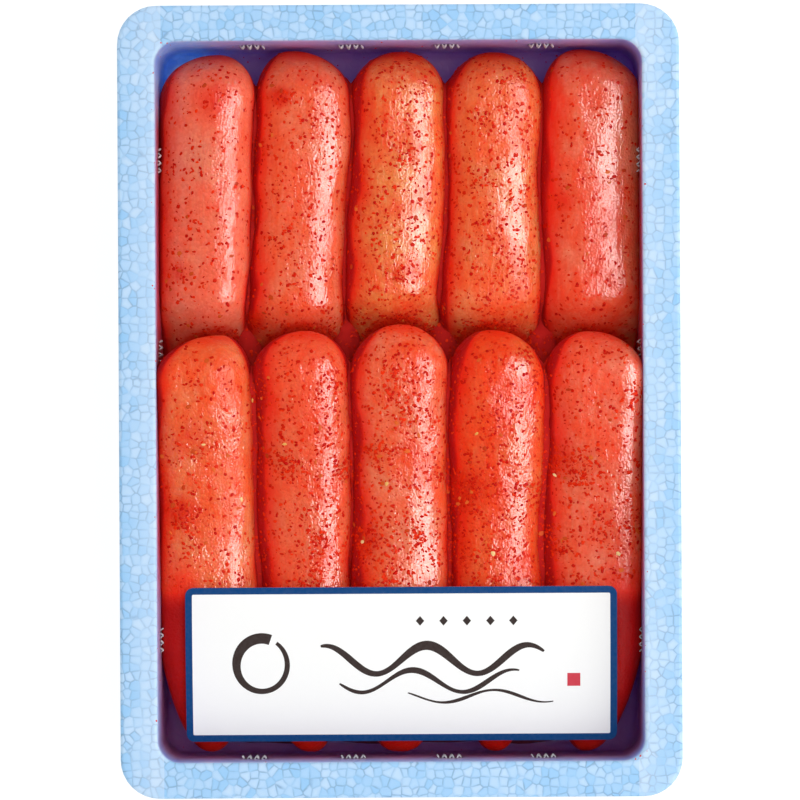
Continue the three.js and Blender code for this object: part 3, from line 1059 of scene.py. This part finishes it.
def soak_and_shade_at(roe, row, index, point):
    """How far the skin darkens or reddens: at the front tails a painted shade towards their ends,
    beginning sooner along the walls, and at the back tails by the front heads a faint red tint."""
    if row == roe.back:
        crept_up = 15 * MM
        gap = (point.y - contact_y(roe, index, point.x)) / crept_up
        return 0.3 * smooth(1 - gap)
    fades_over = 26 * MM
    sooner = 16 * MM
    by_wall = smooth((abs(point.x) - 60 * MM) / (10 * MM))
    start = roe.tail_shade_from + sooner * by_wall
    return mix(0.92, 1.0, by_wall) * smooth((start - point.y) / fades_over)


def build_sac(roe, row, index, name, node):
    """One roe sac: a sphere drawn out along the tray, pressed between its neighbours."""
    sac = row.sacs[index]
    bm = bmesh.new()
    bmesh.ops.create_uvsphere(bm, u_segments=roe.around, v_segments=roe.along, radius=1)
    shade_and_seasoning = bm.verts.layers.float.new("shade_and_seasoning")
    paste = bm.verts.layers.float.new("paste")
    lit_edge = row == roe.front and index == SACS_IN_ROW - 1
    tip_depth = 0.85 if row == roe.back else 0.6
    side_shade_start = 20 if row == roe.back else 15
    for vert in bm.verts:
        share = (1 - vert.co.z) / 2
        y = sac.head_y - (sac.head_y - sac.tail_y) * share
        angle = math.atan2(vert.co.y, vert.co.x)
        vert.co = skin_point(roe, row, index, y, angle)
        # The skin's share of seasoning and painted shade: down its sides, darker at the head's tip, and
        # on the tails.
        tip = tip_depth * (1 - smooth(((sac.head_y - y) / roe.head_dome - 0.06) / 0.26))
        side = side_shade_at(vert.co, angle, index, side_shade_start, not lit_edge)
        vert[shade_and_seasoning] = max(side, tip, soak_and_shade_at(roe, row, index, vert.co))
    bmesh.ops.reverse_faces(bm, faces=bm.faces)  # the mapping above mirrors the sphere
    bm.normal_update()
    seed = index + 1 + (SACS_IN_ROW if row == roe.front else 0)
    for vert in bm.verts:
        vert[paste] = paste_at(vert.co)
        if row == roe.back:
            gap = (vert.co.y - contact_y(roe, index, vert.co.x)) / (6 * MM)
            vert[paste] = max(vert[paste], smooth(1 - gap))
        vert.co += vert.normal * relief(roe, vert.co, seed) * smooth(vert.normal.z * 2 + 0.2)
    material = roe_material(f"pollock_roe_membrane_{name}", sac)
    return finish_piece(f"sac_{name}", bm, [material], node)


class ROETRAY_OT_roe_sacs(bpy.types.Operator):
    """Build the ten roe sacs in their two rows"""

    bl_idname = "roe_tray.roe_sacs"
    bl_label = "Roe sacs"

    def execute(self, context):
        roe = context.scene.roe_tray_roe
        fill_rows(roe)
        for side, row in (("back", roe.back), ("front", roe.front)):
            for index in range(SACS_IN_ROW):
                node = f"roe_{side}_{index + 1}"
                build_sac(roe, row, index, f"{side}_{index + 1}", node)
        return {"FINISHED"}


def card_top(card, y):
    """Height of the card's upper face at y."""
    fall = card.bend * (CARD_HIGH.y - y) ** 2
    return CARD_HIGH.z - fall


class ROETRAY_OT_card(bpy.types.Operator):
    """Build the bordered card"""

    bl_idname = "roe_tray.card"
    bl_label = "Card"

    def execute(self, context):
        card = context.scene.roe_tray_card
        middle = (CARD_LOW + CARD_HIGH) / 2
        half = (CARD_HIGH - CARD_LOW) / 2
        bm = bmesh.new()
        made = bmesh.ops.create_grid(bm, x_segments=1, y_segments=1, size=1)["verts"]
        place = Matrix.Translation((middle.x, middle.y, 0)) @ Matrix.Diagonal((half.x, half.y, 1, 1))
        bmesh.ops.transform(bm, matrix=place, verts=made)
        bmesh.ops.bevel(
            bm, geom=made, offset=card.corner, offset_type="OFFSET", segments=6, profile=0.5,
            affect="VERTICES", material=-1,
        )
        ring = bmesh.ops.inset_region(
            bm, faces=bm.faces[:], thickness=card.border, use_even_offset=True, use_boundary=True
        )["faces"]
        for face in ring:
            face.material_index = 1
        for step in range(1, card.steps):
            y = mix(CARD_LOW.y, CARD_HIGH.y, step / card.steps)
            bmesh.ops.bisect_plane(
                bm, geom=bm.verts[:] + bm.edges[:] + bm.faces[:], dist=1e-7,
                plane_co=(0, y, 0), plane_no=(0, 1, 0),
            )
        thicken(bm, bm.faces[:], -card.thick)
        for face in bm.faces:
            if abs(face.normal.z) < 0.5 or face.calc_center_median().z < -card.thick / 2:
                face.material_index = 0
        for vert in bm.verts:
            vert.co.z += card_top(card, vert.co.y)
        bmesh.ops.recalc_face_normals(bm, faces=bm.faces)
        materials = [
            print_material("paperboard_coated_white", "#FAFAF8", 0.5),
            print_material("paperboard_offset_blue", "#04427B", 0.5),
        ]
        finish_piece("card", bm, materials, "label_card", flat=True)
        return {"FINISHED"}


def add_stroke(bm, card, path, widths, steps):
    """A flat brush stroke along a path of the card's own X and Y, with a width at each share."""
    before = set(bm.verts)
    bmesh.ops.create_grid(bm, x_segments=steps, y_segments=2, size=1)
    new = [v for v in bm.verts if v not in before]
    middle = (CARD_LOW + CARD_HIGH) / 2
    for vert in new:
        share = (vert.co.x + 1) / 2
        side = vert.co.y
        here = Vector(path(share))
        ahead = Vector(path(share + 0.01))
        forward = (ahead - here).normalized()
        across = Vector((-forward.y, forward.x))
        flat = here + across * side * widths(share) / 2
        vert.co = Vector((middle.x + flat.x, middle.y + flat.y, 0))
    faces = [f for f in bm.faces if all(v not in before for v in f.verts)]
    for vert in new + thicken(bm, faces, 0.04 * MM):
        vert.co.z += card_top(card, vert.co.y) - 0.01 * MM


class ROETRAY_OT_card_print(bpy.types.Operator):
    """Print a plain ring, waves, lozenges and a small square on the card"""

    bl_idname = "roe_tray.card_print"
    bl_label = "Card print"

    def execute(self, context):
        card = context.scene.roe_tray_card
        chance = random.Random(5)
        bm = bmesh.new()

        def ring(share):
            turn = math.radians(70) + share * math.radians(345)
            return (-45 * MM + 8.2 * MM * math.cos(turn), 8.6 * MM * math.sin(turn))

        add_stroke(bm, card, ring, lambda s: (3.4 - 2.4 * s + 0.3 * math.sin(s * 9)) * MM, 72)
        waves = (
            (-26, 46, 1.5, 4.6, 3.0, 0.0),
            (-20, 38, -5.5, 3.6, 2.0, 0.9),
            (2, 49, -10.5, 2.0, 1.2, 2.1),
        )
        for start, end, level, swing, weight, phase in waves:
            def wave(share, start=start, end=end, level=level, swing=swing, phase=phase):
                x = mix(start, end, share)
                return (x * MM, (level + swing * math.sin(x / 5.2 + phase)) * MM)

            def width(share, weight=weight, phase=phase):
                taper = math.sqrt(max(0.0, math.sin(math.pi * clamp01(share))))
                return weight * (0.25 + 0.75 * taper * (0.75 + 0.25 * math.sin(share * 16 + phase))) * MM

            add_stroke(bm, card, wave, width, 96)
        for number in range(5):
            x = (6 + number * 7.5 + chance.uniform(-0.3, 0.3)) * MM

            def lozenge(share, x=x):
                return (x, (14.0 + mix(-1.5, 1.5, share)) * MM)

            add_stroke(bm, card, lozenge, lambda s: 2.6 * (1 - abs(2 * s - 1)) * MM + 0.1 * MM, 6)
        dark_faces = set(bm.faces)

        def seal(share):
            return (mix(53.5, 57.7, share) * MM, -5.2 * MM)

        add_stroke(bm, card, seal, lambda s: 4.2 * MM, 2)
        for face in bm.faces:
            face.material_index = 0 if face in dark_faces else 1
        bmesh.ops.recalc_face_normals(bm, faces=bm.faces)
        materials = [
            print_material("ink_brush_dark", "#3A2E2B", 0.6),
            print_material("ink_seal_red", "#D0404E", 0.6),
        ]
        finish_piece("card_print", bm, materials, flat=True)
        return {"FINISHED"}


def surfaces():
    """What chilli can land on, as search trees by piece name."""
    depsgraph = bpy.context.evaluated_depsgraph_get()
    names = [o.name for o in bpy.data.objects if o.name.startswith("sac_")]
    names += ["card", "foam_tray", "seasoning_folds"]
    return {n: BVHTree.FromObject(bpy.data.objects[n], depsgraph) for n in names}


def land(trees, x, y):
    """Where something that falls at x, y comes to rest: the piece, the point and its normal."""
    best = (None, None, None)
    for name, tree in trees.items():
        point, normal, _, _ = tree.ray_cast(Vector((x, y, 0.2)), Vector((0, 0, -1)))
        if point and (best[1] is None or point.z > best[1].z):
            best = (name, point, normal)
    return best


def add_flake(bm, shade_layer, chance, point, normal, length, width, thick, shade):
    """A flat ragged flake that lies on the skin, sunk to a third."""
    spin = Matrix.Rotation(chance.uniform(0, math.tau), 4, "Z")
    tilt = Matrix.Rotation(chance.gauss(0, 0.15), 4, "X")
    lie = Vector((0, 0, 1)).rotation_difference(normal).to_matrix().to_4x4()
    size = Matrix.Diagonal((length / 2, width / 2, thick / 2, 1))
    raised = 0.17  # a share of the thickness, so that a third of it is sunk
    place = Matrix.Translation(point + normal * thick * raised) @ lie @ tilt @ spin @ size
    verts = bmesh.ops.create_icosphere(bm, subdivisions=1, radius=1)["verts"]
    for vert in verts:
        vert.co *= chance.uniform(0.72, 1.15)
        vert[shade_layer] = shade
    bmesh.ops.transform(bm, matrix=place, verts=verts)


def sac_area(roe, row, index, far, near, chance):
    """A random X and Y over a sac, between two values of Y and a little denser towards its foot."""
    share = chance.random() ** 0.85
    y = mix(far, near, share)
    x = mix(seam_x(roe, row, index, y), seam_x(roe, row, index + 1, y), chance.random())
    return x, y


def clumps_on(roe, row, index, far, near, chance):
    """Centres and radii of the clumps on a sac: its blotches of paste and a few more."""
    clumps = [(*sac_area(roe, row, index, far, near, chance), 2.2 * MM) for _ in range(9)]
    for x, y, radius, _ in PASTE_SPOTS:
        x, y, radius = x * MM, y * MM, radius * MM
        if near < y < far and seam_x(roe, row, index, y) < x < seam_x(roe, row, index + 1, y):
            clumps += [(x, y, radius * 0.4)] * 4
    if row == roe.back:
        for share in (0.25, 0.4, 0.55, 0.7, 0.85):
            x = mix(seam_x(roe, row, index, near), seam_x(roe, row, index + 1, near), share)
            clumps += [(x, contact_y(roe, index, x) + 1.2 * MM, 1.2 * MM)] * 3
    return clumps


def stray_place(tray, chance):
    """A random X and Y near the cavity's wall, mostly at the two ends."""
    half_x = TRAY_HIGH.x - tray.side_rim
    half_y = TRAY_HIGH.y - tray.end_rim
    if chance.random() < 0.35:
        side = chance.choice((-1, 1))
        return side * (half_x + chance.gauss(-0.4, 0.7) * MM), chance.uniform(-half_y, half_y)
    end = chance.choice((-1, 1, 1))
    return chance.uniform(-half_x, half_x), end * (half_y - abs(chance.gauss(0, 6)) * MM)


class ROETRAY_OT_chilli(bpy.types.Operator):
    """Scatter chilli flakes, skins, seeds and powder over the roe"""

    bl_idname = "roe_tray.chilli"
    bl_label = "Chilli"

    def execute(self, context):
        chilli = context.scene.roe_tray_chilli
        roe = context.scene.roe_tray_roe
        chance = random.Random(chilli.seed)
        trees = surfaces()
        kinds = {
            "chilli_flakes": chilli_material("dried_chilli_crushed", "#C20C04", "#F0340C", 0.5),
            "chilli_powder": chilli_material("dried_chilli_ground", "#C81406", "#F04010", 0.5),
            "chilli_skins": chilli_material("dried_chilli_soaked_skin", "#C03010", "#EA6A2C", 0.5),
            "chilli_seeds": chilli_material("dried_chilli_seed", "#E8A850", "#F6D79A", 0.4),
        }
        whole = {name: bmesh.new() for name in kinds}
        for bm in whole.values():
            bm.verts.layers.float.new("shade")
        for side, row in (("back", roe.back), ("front", roe.front)):
            for index, sac in enumerate(row.sacs):
                own = f"sac_{side}_{index + 1}"
                near = roe.front.sacs[index].head_y if side == "back" else CARD_HIGH.y
                far = sac.head_y
                clumps = clumps_on(roe, row, index, far, near, chance)
                amounts = {
                    "chilli_flakes": sac.flakes,
                    "chilli_powder": round(sac.flakes * chilli.powder),
                    "chilli_skins": chilli.skins,
                    "chilli_seeds": 2 if side == "front" else 0,
                }
                for name, amount in amounts.items():
                    part = bmesh.new()
                    layer = part.verts.layers.float.new("shade")
                    for _ in range(amount):
                        x, y = sac_area(roe, row, index, far, near, chance)
                        if chance.random() < chilli.clumped:
                            clump_x, clump_y, spread = chance.choice(clumps)
                            x = chance.gauss(clump_x, spread)
                            y = chance.gauss(clump_y, spread)
                        hit, point, normal = land(trees, x, y)
                        if hit not in (own, "seasoning_folds"):
                            continue
                        length = {
                            "chilli_flakes": mix(chilli.shortest, chilli.longest, chance.random()),
                            "chilli_powder": chance.uniform(0.35, 0.8) * MM,
                            "chilli_skins": chance.uniform(1.5, 2.4) * MM,
                            "chilli_seeds": chance.uniform(1.7, 2.1) * MM,
                        }[name]
                        width = length * chance.uniform(0.45, 0.85)
                        thick = min(width * 0.45, 0.35 * MM)
                        if name == "chilli_seeds":
                            thick = 0.6 * MM
                        add_flake(
                            part, layer, chance, point, normal, length, width, thick, chance.random()
                        )
                    mesh = bpy.data.meshes.new("part")
                    part.to_mesh(mesh)
                    part.free()
                    whole[name].from_mesh(mesh)
                    bpy.data.meshes.remove(mesh)
        tray = context.scene.roe_tray_tray
        layer = whole["chilli_powder"].verts.layers.float["shade"]
        for _ in range(chilli.strays):
            x, y = stray_place(tray, chance)
            hit, point, normal = land(trees, x, y)
            if hit != "foam_tray":
                continue
            length = chance.uniform(0.3, 0.9) * MM
            add_flake(
                whole["chilli_powder"], layer, chance, point, normal, length, length * 0.7,
                length * 0.35, chance.random(),
            )
        for name, bm in whole.items():
            finish_piece(name, bm, [kinds[name]], flat=True)
        return {"FINISHED"}


def seasoning_material(name):
    """Chilli seasoning, ground fine and soaked: a thick, opaque, deep red paste, which also stands as
    painted shade in the crevices between the sacs.
    """
    material, tree, output = new_material(name)
    place = add_node(tree, "ShaderNodeTexCoord").outputs["Object"]
    cloud = add_node(
        tree, "ShaderNodeTexNoise", {"Vector": place, "Scale": 260.0, "Detail": 4.0}
    ).outputs["Fac"]
    tone = layered(tree, colour(linear("#B41A1C")), [(cloud, colour(linear("#D02E28")))])
    bump = add_node(
        tree, "ShaderNodeBump", {"Height": cloud, "Strength": 0.6, "Distance": 0.6 * MM}
    ).outputs["Normal"]
    return finish_material(
        material, tree, output,
        {"Base Color": tone, "Roughness": 0.5, "Specular IOR Level": 0.0, "Normal": bump},
    )


def add_fold(bm, roe, row, k, floor):
    """Seasoning in the fold between two sacs, and painted shade there: a strip whose edges lie inside
    both of them.
    """
    pair = (row.sacs[k - 1], row.sacs[k])
    far = min(sac.head_y for sac in pair) - 7 * MM
    near = roe.front.sacs[k].head_y - 16 * MM if row == roe.back else CARD_LOW.y
    made = bmesh.ops.create_grid(bm, x_segments=8, y_segments=90, size=1)["verts"]
    for vert in made:
        side = vert.co.x
        hollow = 3.5 * MM * (1 - min(1.0, abs(side) * 2.2))
        y = mix(near, far - hollow, (vert.co.y + 1) / 2)
        level = 1.0
        shut = 1.0
        for sac in pair:
            under, over = heights_at(roe, row, sac, y)
            middle = LIE + sac.lift * ramp_share(roe, y) + (under + over) / 2
            level = min(level, middle + roe.fold_level * (over - under) / 2)
            shut = min(shut, fullness(roe, sac, y, 24))
        level -= (1 - shut) * 60 * MM
        half = 3.5 * MM + (1 - shut) * 16 * MM
        heap = 0.0
        if row == roe.back:
            # It heaps up where the heads of the front row lie on the tails, filling the shaded hollow
            # there as painted shade.
            heap = smooth((roe.front.sacs[k].head_y + 5 * MM - y) / (6 * MM))
            level = mix(level, 25 * MM, heap)
            half = mix(half, 5.5 * MM, heap)
        ragged = 0.5 * MM * noise.noise(Vector((side * 4, y / (3 * MM), k)))
        x = seam_x(roe, row, k, y) + side * half
        z = level - 4 * MM * heap * side * side + ragged
        vert.co = Vector((x, y, max(z, floor + 0.3 * MM)))


class ROETRAY_OT_folds(bpy.types.Operator):
    """Fill the folds between the sacs with seasoning, which also stands as painted shade"""

    bl_idname = "roe_tray.folds"
    bl_label = "Seasoning in the folds"

    def execute(self, context):
        roe = context.scene.roe_tray_roe
        tray = context.scene.roe_tray_tray
        bm = bmesh.new()
        for row in (roe.back, roe.front):
            for k in range(1, SACS_IN_ROW):
                add_fold(bm, roe, row, k, tray.floor)
        thicken(bm, bm.faces[:], 0.2 * MM)
        bmesh.ops.recalc_face_normals(bm, faces=bm.faces)
        finish_piece("seasoning_folds", bm, [seasoning_material("chilli_paste_and_crevice_shade")])
        return {"FINISHED"}


class ROETRAY_OT_liquor(bpy.types.Operator):
    """Lay a thin film of seasoning liquor on the tray's floor"""

    bl_idname = "roe_tray.liquor"
    bl_label = "Seasoning liquor"

    def execute(self, context):
        tray = context.scene.roe_tray_tray
        bm = bmesh.new()
        bmesh.ops.create_circle(bm, cap_ends=True, segments=160, radius=1)
        reach_x = TRAY_HIGH.x - tray.side_rim - tray.cavity_lean - 1.6 * MM
        reach_y = TRAY_HIGH.y - tray.end_rim - tray.cavity_lean - 1.6 * MM
        for vert in bm.verts:
            across, along = vert.co.x, vert.co.y
            size = (abs(across) ** 9 + abs(along) ** 9) ** (-1 / 9)
            x = across * size * reach_x
            y = along * size * reach_y
            ragged = noise.noise(Vector((x, y, 0)) / (16 * MM))
            back = smooth((y - 60 * MM) / (60 * MM))
            shrink = 1 - 0.012 * (1 + ragged) - 0.2 * back
            vert.co = Vector((x * (1 - 0.01 * (1 + ragged)), y * shrink, tray.floor))
        thicken(bm, bm.faces[:], 0.22 * MM)
        bmesh.ops.recalc_face_normals(bm, faces=bm.faces)
        finish_piece("seasoning_liquor", bm, [liquor_material("seasoning_liquor_film")], flat=True)
        return {"FINISHED"}


def stage_material():
    """Matt white seamless paper, lit from behind so that it stays white."""
    material, tree, output = new_material("seamless_paper_white")
    return finish_material(
        material, tree, output,
        {"Base Color": (0.2, 0.2, 0.2, 1), "Roughness": 0.9, "Emission Color": (1, 1, 1, 1),
         "Emission Strength": 0.88},
    )


class ROETRAY_OT_stage(bpy.types.Operator):
    """Set up the pale floor, the lights and the camera"""

    bl_idname = "roe_tray.stage"
    bl_label = "Stage"

    def execute(self, context):
        stage = context.scene.roe_tray_stage
        scene = context.scene
        bm = bmesh.new()
        bmesh.ops.create_grid(bm, x_segments=1, y_segments=1, size=4)
        mesh = bpy.data.meshes.new("floor")
        bm.to_mesh(mesh)
        bm.free()
        mesh.materials.append(stage_material())
        floor = bpy.data.objects.new("floor", mesh)
        scene.collection.objects.link(floor)

        softbox = bpy.data.lights.new("softbox", "AREA")
        softbox.shape = "RECTANGLE"
        softbox.size = stage.key_width
        softbox.size_y = stage.key_length
        softbox.energy = stage.key_power
        key = bpy.data.objects.new("softbox", softbox)
        scene.collection.objects.link(key)
        towards = Vector((math.cos(stage.key_elevation), 0, math.sin(stage.key_elevation)))
        sideways = Vector((0, -0.35, 0))
        key.location = towards * 1.25 + sideways
        key.rotation_euler = (0, math.pi / 2 - stage.key_elevation, 0)
        key.visible_glossy = False

        # A second light just in front of it gives the shine alone.
        shine = key.copy()
        shine.data = softbox.copy()
        shine.name = "shine"
        shine.data.energy = stage.shine_power
        shine.data.shape = "ELLIPSE"
        shine.data.size = stage.shine_width
        shine.data.size_y = stage.shine_length
        shine.location = towards * 1.2
        shine.visible_glossy = True
        shine.visible_diffuse = False
        shine.visible_transmission = False
        scene.collection.objects.link(shine)

        world = bpy.data.worlds.new("studio")
        scene.world = world
        world.use_nodes = True
        background = world.node_tree.nodes["Background"]
        background.inputs["Color"].default_value = (1, 1, 1, 1)
        background.inputs["Strength"].default_value = stage.fill
        world.cycles_visibility.glossy = False

        rim = TRAY_HIGH.z
        lens_data = bpy.data.cameras.new("camera")
        frame_width = PHOTO_PIXELS * PHOTO_SCALE
        lens_data.lens = lens_data.sensor_width * (stage.camera_height - rim) / frame_width
        camera = bpy.data.objects.new("camera", lens_data)
        scene.collection.objects.link(camera)
        camera.location = (stage.camera_x, stage.camera_y, stage.camera_height)
        camera.rotation_euler = (0, 0, stage.roll)
        seen = Matrix.Rotation(-stage.roll, 2) @ Vector((-stage.camera_x, -stage.camera_y))
        half = PHOTO_PIXELS / 2
        lens_data.shift_x = seen.x / frame_width - (PHOTO_CENTRE[0] - half) / PHOTO_PIXELS
        lens_data.shift_y = seen.y / frame_width + (PHOTO_CENTRE[1] - half) / PHOTO_PIXELS
        lens_data.clip_end = 20
        scene.camera = camera
        scene.view_settings.view_transform = "Standard"
        return {"FINISHED"}


STEPS = (
    ("foam_tray", "Foam tray"),
    ("roe_sacs", "Roe sacs"),
    ("folds", "Seasoning in the folds"),
    ("card", "Card"),
    ("card_print", "Card print"),
    ("chilli", "Chilli"),
    ("liquor", "Seasoning liquor"),
    ("stage", "Stage"),
)


class ROETRAY_PT_panel(bpy.types.Panel):
    """Lists the steps that build the tray"""

    bl_idname = "ROETRAY_PT_panel"
    bl_label = "Roe tray"
    bl_space_type = "VIEW_3D"
    bl_region_type = "UI"
    bl_category = "Roe tray"

    def draw(self, context):
        for name, label in STEPS:
            self.layout.operator(f"roe_tray.{name}", text=label)


CLASSES = (
    TrayProps,
    SacProps,
    RowProps,
    RoeProps,
    CardProps,
    ChilliProps,
    StageProps,
    ROETRAY_OT_foam_tray,
    ROETRAY_OT_roe_sacs,
    ROETRAY_OT_card,
    ROETRAY_OT_card_print,
    ROETRAY_OT_chilli,
    ROETRAY_OT_folds,
    ROETRAY_OT_liquor,
    ROETRAY_OT_stage,
    ROETRAY_PT_panel,
)
SETTINGS = {
    "roe_tray_tray": TrayProps,
    "roe_tray_roe": RoeProps,
    "roe_tray_card": CardProps,
    "roe_tray_chilli": ChilliProps,
    "roe_tray_stage": StageProps,
}


def register():
    for made in CLASSES:
        bpy.utils.register_class(made)
    for name, group in SETTINGS.items():
        setattr(bpy.types.Scene, name, PointerProperty(type=group))


def unregister():
    for name in SETTINGS:
        delattr(bpy.types.Scene, name)
    for made in reversed(CLASSES):
        bpy.utils.unregister_class(made)


def main():
    register()
    for name, _ in STEPS:
        getattr(bpy.ops.roe_tray, name)()


if __name__ == "__main__":
    main()
